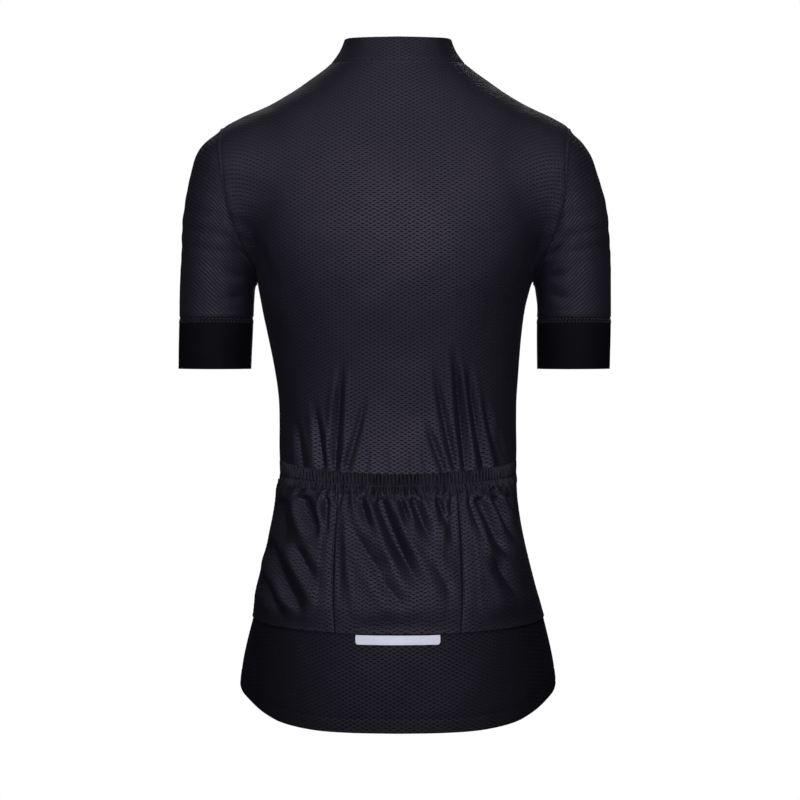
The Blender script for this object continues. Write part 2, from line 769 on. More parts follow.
def shell(name, cloth, material, thickness=SHELL, lay=None):
    """A closed thin shell with the sheet as its outer face, and the lay of its knit if that isn't its grid's."""
    u, v = lay or (cloth.u, cloth.v)
    outer = lapped(cloth.points, cloth.wraps)
    inner = outer - thickness * cloth.normals
    rows, columns = outer.shape[:2]
    spans = columns if cloth.wraps else columns - 1
    r, c = np.meshgrid(np.arange(rows - 1), np.arange(spans), indexing="ij")
    r, c = r.ravel(), c.ravel()

    def at(side, row, column):
        return (side * rows + row) * columns + column % columns

    def uv_at(row, column):
        return np.stack([u[row, column], v[row, column]], -1)

    corners = [(r, c), (r + 1, c), (r + 1, c + 1), (r, c + 1)]
    faces, uvs = [], []

    def add(sides, rows_columns, turned):
        ids = np.stack([at(side, *rc) for side, rc in zip(sides, rows_columns)], -1)
        uv = np.stack([uv_at(*rc) for rc in rows_columns], -2)
        step = -1 if turned != (cloth.facing < 0) else 1
        faces.append(ids[:, ::step])
        uvs.append(uv[:, ::step])

    add((0, 0, 0, 0), corners, False)
    add((1, 1, 1, 1), corners, True)
    across = np.arange(spans)
    low, high = np.zeros(spans, int), np.full(spans, rows - 1)
    add((1, 0, 0, 1), [(low, across), (low, across), (low, across + 1), (low, across + 1)], False)
    add((1, 0, 0, 1), [(high, across), (high, across), (high, across + 1), (high, across + 1)], True)
    if not cloth.wraps:
        up = np.arange(rows - 1)
        first, last = np.zeros(rows - 1, int), np.full(rows - 1, columns - 1)
        add((1, 0, 0, 1), [(up, first), (up, first), (up + 1, first), (up + 1, first)], True)
        add((1, 0, 0, 1), [(up, last), (up, last), (up + 1, last), (up + 1, last)], False)
    points = np.concatenate([outer.reshape(-1, 3), inner.reshape(-1, 3)])
    return mesh_from(name, points, np.concatenate(faces), material, np.concatenate(uvs).reshape(-1, 2))


def even_steps(path, pitch):
    """Shares of a polyline's length at an even pitch, as places, directions and indices between its points."""
    lengths = np.concatenate([[0], np.cumsum(length_of(np.diff(path, axis=0)))])
    count = max(2, int(lengths[-1] / pitch))
    wanted = (np.arange(count) + 0.5) * lengths[-1] / count
    index = np.interp(wanted, lengths, np.arange(len(path)))
    at = np.stack([np.interp(index, np.arange(len(path)), path[:, k]) for k in range(3)], -1)
    ahead = np.stack([np.interp(index + 0.3, np.arange(len(path)), path[:, k]) for k in range(3)], -1)
    behind = np.stack([np.interp(index - 0.3, np.arange(len(path)), path[:, k]) for k in range(3)], -1)
    return at, unit(ahead - behind), index


STITCH_SECTIONS = [[-0.5, 0.0], [-0.36, 0.75], [0.0, 1.0], [0.36, 0.75], [0.5, 0.0]]
STITCH_SIDES = 6


def stitches(path, normals, pitch, length, width, turn_deg=0.0, sunk=0.25):
    """Points and faces of thread stitches laid end to end on a path, each a flattened spindle."""
    at, run, index = even_steps(path, pitch)
    out = unit(np.stack([np.interp(index, np.arange(len(path)), normals[:, k]) for k in range(3)], -1))
    side = unit(np.cross(out, run))
    if turn_deg:
        turn = np.radians(turn_deg) * np.where(np.arange(len(at)) % 2, 1, -1)[:, None]
        run = run * np.cos(turn) + side * np.sin(turn)
        side = unit(np.cross(out, run))
    ring = 2 * np.pi * np.arange(STITCH_SIDES) / STITCH_SIDES
    points = []
    for place, girth in STITCH_SECTIONS:
        girth = max(girth, 0.12)
        for angle in ring:
            points.append(
                at
                + place * length * run
                + 0.5 * width * girth * np.cos(angle) * side
                + 0.5 * width * (0.8 * girth * np.sin(angle) + 1 - 2 * sunk) * out
            )
    points = np.stack(points, 1)
    per, sides = points.shape[1], STITCH_SIDES
    faces = []
    for k in range(len(STITCH_SECTIONS) - 1):
        for i in range(sides):
            j = (i + 1) % sides
            faces.append([k * sides + i, k * sides + j, (k + 1) * sides + j, (k + 1) * sides + i])
    faces = (np.array(faces)[None] + per * np.arange(len(at))[:, None, None]).reshape(-1, 4)
    return points.reshape(-1, 3), faces


def joined(name, parts, material, sharp_deg=180):
    """One object from several sets of points and faces."""
    points, faces, count = [], [], 0
    for some_points, some_faces in parts:
        points.append(some_points)
        faces.append(some_faces + count)
        count += len(some_points)
    return mesh_from(name, np.concatenate(points), np.concatenate(faces), material, sharp_deg=sharp_deg)


def line_at(cloth, edge, distance, start=0.0, end=1.0, lift=0.0):
    """A line on a sheet at a distance from its bottom or top edge, or from its first or last column."""
    rows, columns = cloth.points.shape[:2]
    v, u = cloth.v[:, :columns], cloth.u[:, :columns]
    if edge in ("bottom", "top"):
        column = np.arange(columns)[int(start * (columns - 1)) : int(end * (columns - 1)) + 1]
        wanted = distance if edge == "bottom" else v[-1] - distance
        wanted = np.broadcast_to(wanted, columns)
        row = np.array([np.interp(wanted[c], v[:, c], np.arange(rows)) for c in column])
    else:
        row = np.arange(rows)[int(start * (rows - 1)) : int(end * (rows - 1)) + 1]
        wanted = u[:, 0] + distance if edge == "first" else u[:, -1] - distance
        column = np.array([np.interp(wanted[r], u[r], np.arange(columns)) for r in row])
    p, normal = cloth.place(row, column)
    if cloth.wraps:
        p, normal = np.concatenate([p, p[:1]]), np.concatenate([normal, normal[:1]])
    return p + lift * normal, normal


# Materials


class Shader:
    """Builds a node material from short calls."""

    def __init__(self, name):
        self.material = bpy.data.materials.new(name)
        self.material.use_nodes = True
        self.tree = self.material.node_tree
        self.surface = self.tree.nodes["Principled BSDF"]

    def node(self, kind, **settings):
        node = self.tree.nodes.new(kind)
        for key, value in settings.items():
            setattr(node, key, value)
        return node

    def feed(self, socket, value):
        if isinstance(value, bpy.types.NodeSocket):
            self.tree.links.new(value, socket)
        else:
            socket.default_value = value

    def math(self, operation, *values):
        node = self.node("ShaderNodeMath", operation=operation)
        for socket, value in zip(node.inputs, values):
            self.feed(socket, value)
        return node.outputs[0]

    def scaled(self, vector, factors):
        node = self.node("ShaderNodeVectorMath", operation="MULTIPLY")
        self.feed(node.inputs[0], vector)
        self.feed(node.inputs[1], factors)
        return node.outputs[0]

    def noise(self, vector, scale, detail=2.0):
        node = self.node("ShaderNodeTexNoise")
        self.feed(node.inputs["Vector"], vector)
        self.feed(node.inputs["Scale"], scale)
        self.feed(node.inputs["Detail"], detail)
        return node.outputs["Fac"]

    def ranged(self, value, low, high, to_low=0.0, to_high=1.0):
        node = self.node("ShaderNodeMapRange", interpolation_type="SMOOTHSTEP")
        for socket, number in zip(node.inputs, (value, low, high, to_low, to_high)):
            self.feed(socket, number)
        return node.outputs[0]

    def blend(self, share, a, b):
        node = self.node("ShaderNodeMix", data_type="RGBA")
        self.feed(node.inputs[0], share)
        self.feed(node.inputs[6], a)
        self.feed(node.inputs[7], b)
        return node.outputs[2]

    def cloth_mm(self):
        """Cloth coordinates in millimetres, as a vector and as its two parts."""
        uv = self.node("ShaderNodeUVMap", uv_map="cloth").outputs[0]
        vector = self.scaled(uv, (1000.0, 1000.0, 1000.0))
        parts = self.node("ShaderNodeSeparateXYZ")
        self.feed(parts.inputs[0], vector)
        return vector, parts.outputs[0], parts.outputs[1]

    def object_place(self):
        return self.node("ShaderNodeTexCoord").outputs["Object"]

    def bump(self, height, distance, strength=1.0):
        node = self.node("ShaderNodeBump")
        self.feed(node.inputs["Height"], height)
        self.feed(node.inputs["Distance"], distance)
        self.feed(node.inputs["Strength"], strength)
        self.feed(self.surface.inputs["Normal"], node.outputs[0])

    def set(self, **values):
        for name, value in values.items():
            self.feed(self.surface.inputs[name.replace("_", " ")], value)


def colour(red, green, blue, gain=1.0):
    return (red * gain, green * gain, blue * gain, 1.0)


TWILL_PITCH = 3.0


def mesh_cloth(name, base, hole_share=0.92, specular=0.48, twill_share=0.0):
    """Knitted mesh: rows of small slanted holes, each row half a pitch on from the last, over fine ribs."""
    pitch, hole, hole_slant = (7.45, 3.92), (1.9, 0.74), 0.22
    s = Shader(name)
    vector, u, v = s.cloth_mm()
    waver = s.math("MULTIPLY", s.math("SUBTRACT", s.noise(vector, 0.06, 1.0), 0.5), 2.4)
    u = s.math("ADD", u, waver)
    half_row = pitch[1] / 2
    row = s.math("FLOOR", s.math("DIVIDE", v, half_row))
    shift = s.math("MULTIPLY", s.math("FLOORED_MODULO", row, 2.0), 0.5)
    x = s.math("SUBTRACT", s.math("FRACT", s.math("ADD", s.math("DIVIDE", u, pitch[0]), shift)), 0.5)
    y = s.math("SUBTRACT", s.math("FRACT", s.math("DIVIDE", v, half_row)), 0.5)
    lean = s.math("MULTIPLY", x, s.math("SUBTRACT", s.math("MULTIPLY", shift, 4 * hole_slant), hole_slant))
    y = s.math("ADD", y, s.math("MULTIPLY", lean, pitch[0] / half_row))
    across = s.math("POWER", s.math("MULTIPLY", x, pitch[0] / hole[0]), 2.0)
    up = s.math("POWER", s.math("MULTIPLY", y, half_row / hole[1]), 2.0)
    opening = s.ranged(s.math("ADD", across, up), 0.35, 1.25, 1.0, 0.0)
    uneven = s.ranged(s.noise(vector, 0.45, 2.0), 0.3, 0.7, 0.72, 1.0)
    opening = s.math("MULTIPLY", opening, uneven)
    if twill_share:
        run = s.math("SUBTRACT", s.math("MULTIPLY", v, 0.82), s.math("MULTIPLY", u, 0.57))
        line = s.ranged(s.math("SINE", s.math("MULTIPLY", run, 2 * math.pi / TWILL_PITCH)), -0.2, 0.9)
        opening = s.math("MAXIMUM", s.math("MULTIPLY", opening, 0.35), s.math("MULTIPLY", line, twill_share))
    rib = s.math("SINE", s.math("MULTIPLY", u, 2 * math.pi / 0.93))
    loop = s.math("SINE", s.math("MULTIPLY", v, 2 * math.pi / 0.98))
    yarn = s.math("MULTIPLY", s.math("ADD", rib, loop), 0.25)
    patch = s.ranged(s.noise(vector, 0.018, 3.0), 0.35, 0.65, 0.9, 1.08)
    fine = s.ranged(s.noise(vector, 1.6, 2.0), 0.3, 0.7, 0.86, 1.14)
    tone = s.math("MULTIPLY", s.math("MULTIPLY", patch, fine), s.math("ADD", 0.95, s.math("MULTIPLY", yarn, 0.2)))
    lit = s.blend(s.math("MULTIPLY", tone, 0.5), colour(0, 0, 0), colour(*base, 2.0))
    s.set(Base_Color=s.blend(s.math("MULTIPLY", opening, hole_share), lit, colour(*base, 0.12)))
    rough = s.ranged(tone, 0.8, 1.15, 0.62, 0.54)
    rough = s.math("ADD", rough, s.math("MULTIPLY", opening, s.math("SUBTRACT", 1.0, rough)))
    s.set(Roughness=rough)
    s.surface.inputs["Specular IOR Level"].default_value = specular
    s.surface.inputs["Specular Tint"].default_value = colour(0.74, 0.67, 1.0)
    height = s.math("SUBTRACT", s.math("MULTIPLY", yarn, 0.2), opening)
    s.bump(height, 0.0003, 1.0)
    return s.material


def knit_cloth(name, base, wale=1.1, course=0.9, roughness=0.6, specular=0.3, rib_height=0.5):
    """Close knit: fine wales and courses with a slight unevenness."""
    s = Shader(name)
    vector, u, v = s.cloth_mm()
    wales = s.math("SINE", s.math("MULTIPLY", u, 2 * math.pi / wale))
    courses = s.math("SINE", s.math("MULTIPLY", v, 2 * math.pi / course))
    patch = s.ranged(s.noise(vector, 0.03, 3.0), 0.3, 0.7, 0.85, 1.12)
    fine = s.ranged(s.noise(vector, 1.3, 2.0), 0.3, 0.7, 0.86, 1.14)
    weave = s.math("ADD", s.math("MULTIPLY", wales, rib_height), s.math("MULTIPLY", courses, 0.3))
    tone = s.math("MULTIPLY", s.math("MULTIPLY", patch, fine), s.math("ADD", 1.0, s.math("MULTIPLY", weave, 0.15)))
    s.set(Base_Color=s.blend(s.math("MULTIPLY", tone, 0.5), colour(0, 0, 0), colour(*base, 2.0)))
    s.set(Roughness=s.ranged(fine, 0.86, 1.14, roughness + 0.08, roughness - 0.06))
    s.surface.inputs["Specular IOR Level"].default_value = specular
    s.surface.inputs["Specular Tint"].default_value = colour(0.78, 0.72, 1.0)
    s.bump(weave, 0.00015, 0.6)
    return s.material


def thread(name, base, roughness=0.55, specular=0.2):
    """Sewing thread with its twist."""
    s = Shader(name)
    place = s.object_place()
    twist = s.noise(place, 1800.0, 1.0)
    s.set(Base_Color=s.blend(s.ranged(twist, 0.3, 0.7), colour(*base, 0.75), colour(*base, 1.15)))
    s.set(Roughness=s.ranged(twist, 0.3, 0.7, roughness + 0.1, roughness - 0.1))
    s.surface.inputs["Specular IOR Level"].default_value = specular
    s.surface.inputs["Specular Tint"].default_value = colour(0.78, 0.72, 1.0)
    s.bump(twist, 0.0001, 0.5)
    return s.material


def reflective_film(name):
    """Silver film with minute glass beads, slightly rubbed."""
    s = Shader(name)
    place = s.object_place()
    beads = s.noise(place, 2600.0, 1.0)
    rub = s.noise(place, 60.0, 4.0)
    s.set(Base_Color=s.blend(s.ranged(rub, 0.35, 0.7), colour(0.56, 0.575, 0.7), colour(0.64, 0.655, 0.78)))
    s.set(Roughness=s.ranged(rub, 0.3, 0.7, 0.45, 0.6), Metallic=0.1)
    s.bump(beads, 0.00005, 0.4)
    return s.material


def enamelled_metal(name):
    """Dark enamel on cast metal, worn a little brighter in places."""
    s = Shader(name)
    place = s.object_place()
    wear = s.noise(place, 420.0, 5.0)
    s.set(Base_Color=s.blend(s.ranged(wear, 0.55, 0.75), colour(0.02, 0.02, 0.024), colour(0.12, 0.12, 0.13)))
    s.set(Metallic=0.85, Roughness=s.ranged(wear, 0.3, 0.7, 0.28, 0.45))
    s.bump(s.noise(place, 900.0, 3.0), 0.00003, 0.5)
    return s.material


def plain_floor(name, tone):
    s = Shader(name)
    place = s.object_place()
    s.set(Base_Color=s.blend(s.noise(place, 1.5, 3.0), colour(*tone, 0.98), colour(*tone, 1.0)))
    s.set(Roughness=0.9)
    s.surface.inputs["Specular IOR Level"].default_value = 0.0
    return s.material


MESH = mesh_cloth("mesh fabric", (0.003, 0.0027, 0.004))
SLEEVE_MESH = mesh_cloth("sleeve mesh fabric", (0.003, 0.0027, 0.004), twill_share=0.7)
POCKET_MESH = mesh_cloth("pocket mesh fabric", (0.003, 0.0027, 0.004))
HEM_MESH = mesh_cloth("hem fabric", (0.0024, 0.0022, 0.0032), hole_share=0.6, specular=0.29)
CUFF_KNIT = knit_cloth("cuff elastic", (0.0024, 0.0023, 0.0034), 0.8, 1.2, 0.7, 0.07)
ELASTIC_KNIT = knit_cloth("pocket elastic", (0.005, 0.0046, 0.0066), 0.9, 1.0, 0.6)
TAPE_KNIT = knit_cloth("zip tape", (0.004, 0.0038, 0.005), 1.0, 0.8, 0.65)
DARK_THREAD = thread("dark thread", (0.0022, 0.002, 0.003), 0.7, 0.08)
DIM_THREAD = thread("dim thread", (0.024, 0.023, 0.03), 0.6, 0.2)
GREY_THREAD = thread("grey thread", (0.05, 0.048, 0.06), 0.6, 0.25)
FILM = reflective_film("reflective strip")
METAL = enamelled_metal("zip metal")
COIL = thread("zip coil", (0.012, 0.012, 0.014), 0.35)


def keep(made, replaces=None):
    """Rides a piece on the garment, names its slot and what it stands for."""
    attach(made, "garment")
    if replaces:
        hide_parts(replaces)
    return made


# Torso panels

SEAMED = ("bottom", "top", "first", "last")

back_plain = Cloth(leaning(whole_width(back_half())), 0.0)
rows, columns = back_plain.points.shape[:2]
row_place = np.arange(rows)[:, None] / LOW_ROW_CELLS
above_elastic = smoothstep(row_place, ELASTIC_ROW + 0.4, ELASTIC_ROW + 1.3)
toward_sides = 1 - smoothstep(np.abs(back_plain.points[..., 0]), 98, 110)
back_base = back_plain.raised(
    crease_relief(BACK_CREASES, back_plain.points) * above_elastic * toward_sides
    + crease_relief(ARMPIT_CREASES, back_plain.points, sides=True)
    * (row_place > 11)
    + undulation(back_plain.points, 5, 0.35) * above_elastic * held_flat(back_plain, SEAMED)
)
back = back_base.raised(seam_dip(back_plain, SEAMED))
cloth_back = keep(shell("cloth_back", back, MESH), "back")

front_plain = Cloth(leaning(front_half()), 0.0)
front_mirror = Cloth(leaning(mirrored(front_half())), 0.0)
front_sheets = {}
for side, plain, seed, stretch in (("left", front_plain, 21, 1.0), ("right", front_mirror, 22, 1.07)):
    uneven = undulation(plain.points, seed, 0.4)
    folds = crease_relief(FRONT_CREASES, plain.points * np.array([stretch, 1, 1]), sides=True)
    relief = (uneven + folds) * held_flat(plain, SEAMED) + seam_dip(plain, SEAMED) + hem_line(plain)
    front_sheets[side] = plain.raised(relief)
    keep(shell(f"cloth_front_{side}", front_sheets[side], MESH), f"front_{side}")

hem_plain = Cloth(whole_width(hem_half(back_half()[0])), 0.0)
hem_sides = ("top", "first", "last")
hem_relief = undulation(hem_plain.points, 31, 0.3) * held_flat(hem_plain, hem_sides)
hem = hem_plain.raised(hem_relief + seam_dip(hem_plain, hem_sides) + hem_line(hem_plain))
keep(shell("cloth_hem", hem, HEM_MESH), "hem_panel")

collar_plain = Cloth(whole_width(collar_half()), np.array([0.0, 0.0, 0.0]))
collar_relief = undulation(collar_plain.points, 41, 0.12) * held_flat(collar_plain, ("bottom",))
collar = collar_plain.raised(collar_relief + seam_dip(collar_plain, ("bottom",)))
keep(shell("cloth_collar", collar, MESH), "collar")

# Sleeves and cuffs


def sleeve_lay(points):
    """Cloth coordinates that keep the lines of the knit straight round and down the arm."""
    closed = np.concatenate([points, points[:, :1]], axis=1)
    girth = length_of(np.diff(closed[-1], axis=0)).sum()
    across = np.linspace(0, girth, closed.shape[1])
    return np.broadcast_to(across, closed.shape[:2]), closed[..., 2]


sleeve_points, cuff_points = sleeve_and_cuff()
sleeve_sheets, cuff_sheets = {}, {}
for side, flip in (("left", np.array([1, 1, 1])), ("right", np.array([-1, 1, 1]))):
    points = leaning(sleeve_points * flip)
    plain = Cloth(points, points.mean(axis=1, keepdims=True), wraps=True)
    ends = ("bottom", "top")
    relief = crease_relief(SLEEVE_CREASES, plain.points, sides=True) + undulation(plain.points, 51, 0.5)
    relief = relief * held_flat(plain, ends, 5.0) + seam_dip(plain, ends, 0.8, 1.5)
    sleeve = plain.raised(relief + seam_ridge(plain))
    sleeve_sheets[side] = sleeve
    made = shell(f"cloth_sleeve_{side}", sleeve, SLEEVE_MESH, lay=sleeve_lay(points))
    keep(made, f"sleeve_{side}")
    points = leaning(cuff_points * flip)
    plain = Cloth(points, points.mean(axis=1, keepdims=True), wraps=True)
    cuff = plain.raised(seam_dip(plain, ("bottom",)))
    cuff_sheets[side] = cuff
    keep(shell(f"cloth_cuff_{side}", cuff, CUFF_KNIT), f"cuff_{side}")

# Pockets, laid on the back panel

POCKET_SEAM_TOP_X = 57
POCKET_SEAM_BOTTOM_X = 60
POCKET_SIDE_MARGIN = 0.006
POCKET_ROWS = 84
POCKET_COLUMNS = 120
POCKET_PUFF = 4.2
POCKET_FOLD_BASE = 3.3
FOLD_DEPTH = 2.3
POCKET_EDGE_LIFT = 0.2

POCKET_CREASES = [
    [87, -396, 82, -416, 71, -437, 3.8, 5.2, 0.1, 0.35],
    [108, -397, 106, -420, 99, -448, 2.8, 7.0, 0.2, 0.4],
    [118, -436, 107, -470, 85, -511, 3.6, 6.0, 0.3, 0.25],
    [124, -468, 116, -494, 104, -516, 2.6, 5.4, 0.4, 0.25],
    [97, -436, 86, -458, 72, -482, 1.6, 4.6, 0.4, 0.4],
    [66, -396, 66, -418, 62, -446, 2.6, 3.4, 0.1, 0.5],
    [56, -400, 56, -440, 53, -505, 2.6, 3.6, 0.2, 0.3],
    [18, -395, 3, -436, -26, -490, 3.8, 5.4, 0.1, 0.4],
    [-2, -396, -7, -412, -14, -428, 1.8, 3.0, 0.2, 0.5],
    [-14, -396, -22, -419, -35, -447, 2.6, 4.6, 0.1, 0.5],
    [-37, -396, -42, -413, -48, -431, 2.0, 3.2, 0.1, 0.6],
    [-50, -398, -51, -424, -52, -452, 2.4, 3.6, 0.1, 0.5],
    [36, -396, 31, -414, 22, -436, 1.8, 3.6, 0.1, 0.6],
    [46, -420, 28, -450, 8, -478, 1.6, 6, 0.4, 0.4],
    [24, -462, 6, -486, -12, -505, 1.2, 6, 0.4, 0.4],
    [-73, -396, -87, -428, -104, -462, 3.6, 4.8, 0.1, 0.4],
    [-88, -396, -99, -420, -111, -449, 3.2, 4.2, 0.1, 0.4],
    [-101, -394, -109, -414, -116, -436, 2.4, 3.6, 0.1, 0.5],
    [-65, -396, -72, -420, -81, -446, 1.8, 3.4, 0.2, 0.5],
    [-84, -446, -98, -474, -114, -498, 1.8, 5.4, 0.4, 0.4],
    [-28, -452, -42, -474, -54, -498, 1.2, 6, 0.4, 0.4],
]

middle_column = (columns - 1) / 2


def column_at(cloth, row, x):
    """The column where a row of a sheet reaches a given x."""
    return np.interp(x, cloth.points[row, :, 0], np.arange(cloth.points.shape[1]))


def even_columns(cloth, row, start, end, count):
    """Columns evenly spaced along a row, between two of its columns."""
    dense = np.linspace(start, end, 400)
    places = cloth.place(row, dense)[0]
    lengths = np.concatenate([[0], np.cumsum(length_of(np.diff(places, axis=0)))])
    return np.interp(shares(count) * lengths[-1], lengths, dense)


def gathers(across, down, seed, count):
    """Small irregular folds that hang from a gathered edge, by the place across and the distance below it."""
    random = np.random.RandomState(seed)
    relief = np.zeros(np.broadcast(across, down).shape)
    place = across.min() + random.uniform(1, 4)
    for _ in range(count):
        depth, width = random.uniform(0.8, 2.0), random.uniform(1.1, 2.0)
        reach, slant = random.uniform(7, 24), random.uniform(-0.28, 0.28)
        fade = np.exp(-((down / reach) ** 2))
        away = (across - place - slant * down) / (width * (1 + down / 30))
        relief -= depth * fade * (np.exp(-away * away) - 0.4 * np.exp(-((np.abs(away) - 1.8) ** 2)))
        place += random.uniform(4.2, 7.2)
    return relief


def softly_positive(lift, knee=0.9):
    return np.where(lift > knee, lift, knee * np.exp(np.minimum(lift, knee) / knee - 1))


def pocket(name, start, end, seed):
    """Half rows run from the pocket seam at the hem (0) up to the elastic."""
    v = shares(POCKET_ROWS)[:, None]
    u = shares(POCKET_COLUMNS)[None]
    row = ELASTIC_ROW * LOW_ROW_CELLS
    top = even_columns(back_plain, row, start[0], end[0], POCKET_COLUMNS)
    bottom = even_columns(back_plain, 0, start[1], end[1], POCKET_COLUMNS)
    base, out = back_plain.place(row * (1 - v), lerp(top[None], bottom[None], v))
    inner_seams = (1 - smoothstep(u, 0, 0.5)) * (start[0] > margin) + smoothstep(u, 0.5, 1) * (end[0] < columns - 2)
    rim = 0.16
    outer = smoothstep(u, 0, rim if start[0] > margin else 0.34)
    outer = outer * smoothstep(1 - u, 0, rim if end[0] < columns - 2 else 0.34)
    closed = outer * smoothstep(1 - v, 0, 0.2)
    held = np.maximum(closed, inner_seams * np.minimum(1, 6 * (1 - v)))
    puff = POCKET_PUFF * np.sin(np.pi * v) ** 0.8 * np.sin(np.pi * u) ** 0.6
    folds = crease_relief(POCKET_CREASES, base) * closed
    width = np.abs(base[0, -1, 0] - base[0, 0, 0])
    down = length_of(base - base[:1])
    swell = 0.42 + 0.58 * smoothstep(down, 0, 12)
    lift = (POCKET_FOLD_BASE * held + puff * np.minimum(1, closed + inner_seams) + FOLD_DEPTH * folds) * swell
    small = gathers(u * width, down, seed, int(width / 5.7)) * np.minimum(1, 9 * np.sin(np.pi * u))
    pucker = 0.22 * np.sin(2 * np.pi * down / 4.6) * (np.exp(-u * width / 2.5) + np.exp(-(1 - u) * width / 2.5))
    small = small * smoothstep(down, -5, 3)
    uneven = undulation(base, seed, 0.55, 60, 18) * closed * smoothstep(down, 0, 10)
    lift = softly_positive(lift + small + pucker + uneven) + POCKET_EDGE_LIFT
    sheet = Cloth(base + (LAID_ON + SHELL + lift)[..., None] * out, 0.0)
    return sheet.raised(seam_dip(sheet, ("first", "last"), 0.5, 1.0))


margin = POCKET_SIDE_MARGIN * (columns - 1)
elastic_row = ELASTIC_ROW * LOW_ROW_CELLS
pocket_edges = [
    (margin, margin),
    (column_at(back_plain, elastic_row, -POCKET_SEAM_TOP_X), column_at(back_plain, 0, -POCKET_SEAM_BOTTOM_X)),
    (column_at(back_plain, elastic_row, POCKET_SEAM_TOP_X), column_at(back_plain, 0, POCKET_SEAM_BOTTOM_X)),
    (columns - 1 - margin, columns - 1 - margin),
]
pocket_sheets = {}
for k, side in enumerate(("right", "middle", "left")):
    sheet = pocket(f"pocket_{side}", pocket_edges[k], pocket_edges[k + 1], 60 + k)
    pocket_sheets[side] = sheet
    keep(shell(f"cloth_pocket_{side}", sheet, POCKET_MESH), f"pocket_{side}")

# Gathered elastic along the pockets' mouths

RIB_PITCH = 3.6
RIB_CELLS = 7
RIB_DEPTH = 1.0
ELASTIC_END_RISE = 0.22
ELASTIC_STITCHED = 0.28
ELASTIC_PROFILE = [
    [0.03, 0.45, 0],
    [0.5, 0.45, 0],
    [0.97, 0.45, 0],
    [1.0, 0.8, 0.3],
    [0.99, 1.5, 0.9],
    [0.9, 2.1, 1.1],
    [0.72, 2.35, 1],
    [0.5, 2.35, 1],
    [0.35, 2.2, 0.8],
    [ELASTIC_STITCHED, 2.1, 0.25],
    [0.22, 2.35, 0.5],
    [0.14, 2.8, 1.1],
    [0.02, 3.2, 1.3],
    [-0.08, 3.4, 1.4],
    [-0.15, 3.3, 1.4],
    [-0.17, 3.0, 1.2],
    [-0.1, 2.9, 0.6],
    [0.02, 2.7, 0.2],
]
ELASTIC_STITCH_RING = 9
ELASTIC_TAPER = 24


def elastic_band():
    """A closed band swept across the back, with upright ribs above its stitch line and a ruffle below."""
    length = back_plain.u[elastic_row, -1] - back_plain.u[elastic_row, 0]
    count = int(length / RIB_PITCH) * RIB_CELLS
    place = even_columns(back_plain, elastic_row, margin, columns - 1 - margin, count)
    random = np.random.RandomState(77)
    knots = np.arange(0, count + 26, 13)
    drift = np.interp(np.arange(count + 1), knots, random.uniform(-1.3, 1.3, len(knots)))
    height = np.interp(np.arange(count + 1), knots, random.uniform(0.55, 1.35, len(knots)))
    along_band = np.linspace(0, length, count + 1)
    drawn_in = 0.35 + 0.65 * smoothstep(np.minimum(along_band, length - along_band), 0, ELASTIC_TAPER)
    phase = 2 * np.pi * np.arange(count + 1) / RIB_CELLS + drift
    rows = []
    aside = np.abs(np.linspace(-1, 1, count + 1)) ** 2.5
    for v, off, rib in ELASTIC_PROFILE:
        lower = v < ELASTIC_STITCHED
        angle = phase * (1.24 if lower else 1.0) + (0.9 if lower else 0.0) - 1.6 * (v - 0.5)
        wave = 1 - 2.2 * np.abs(np.cos(angle / 2)) ** 4
        uneven = np.sin(0.37 * phase + 2) + 0.7 * np.sin(0.23 * phase)
        if lower:
            wave = wave * (0.75 + 0.25 * uneven)
        slip = (0.03 * np.sin(angle + 0.8) + 0.045 * uneven * lower) * (v < 0 or v > 0.9)
        height_share = v * (1 + ELASTIC_END_RISE * aside * (v > ELASTIC_STITCHED)) + slip
        base, out = back_plain.place(elastic_row + height_share * LOW_ROW_CELLS, place)
        lift = LAID_ON + (off - LAID_ON + RIB_DEPTH * rib * wave * height) * drawn_in
        rows.append(base + lift[:, None] * out)
    rings = np.stack(rows, 1)
    around = rings.shape[1]
    k, i = np.meshgrid(np.arange(count), np.arange(around), indexing="ij")
    k, i = k.ravel(), i.ravel()
    j = (i + 1) % around
    quads = np.stack([k * around + i, k * around + j, (k + 1) * around + j, (k + 1) * around + i], -1)
    around_band = np.concatenate([[0], np.cumsum(length_of(np.diff(rings[0], axis=0)))])
    around_band = np.append(around_band, around_band[-1] + length_of(rings[0, -1] - rings[0, 0]))
    uv = np.stack(
        [
            np.stack([along_band[k], around_band[i]], -1),
            np.stack([along_band[k], around_band[i + 1]], -1),
            np.stack([along_band[k + 1], around_band[i + 1]], -1),
            np.stack([along_band[k + 1], around_band[i]], -1),
        ],
        1,
    )
    return rings, quads, uv


def band_object(name, rings, quads, uv, material):
    """A swept band with both ends capped."""
    made = mesh_from(name, rings.reshape(-1, 3), quads, material, uv.reshape(-1, 2), sharp_deg=60)
    around = rings.shape[1]
    shape = bmesh.new()
    shape.from_mesh(made.data)
    shape.verts.ensure_lookup_table()
    total = len(shape.verts)
    shape.faces.new([shape.verts[i] for i in range(around)])
    shape.faces.new([shape.verts[total - 1 - i] for i in range(around)])
    bmesh.ops.recalc_face_normals(shape, faces=shape.faces)
    shape.to_mesh(made.data)
    shape.free()
    return made


elastic_rings, elastic_quads, elastic_uv = elastic_band()
keep(
    band_object("cloth_pocket_elastic", elastic_rings, elastic_quads, elastic_uv, ELASTIC_KNIT),
    "pocket_elastic",
)

# Reflective strip, right under the pocket seam

STRIP_HALF_WIDTH = 39.5
STRIP_TOP = 1.7
STRIP_HEIGHT = 8.4
STRIP_CORNER = 2.2


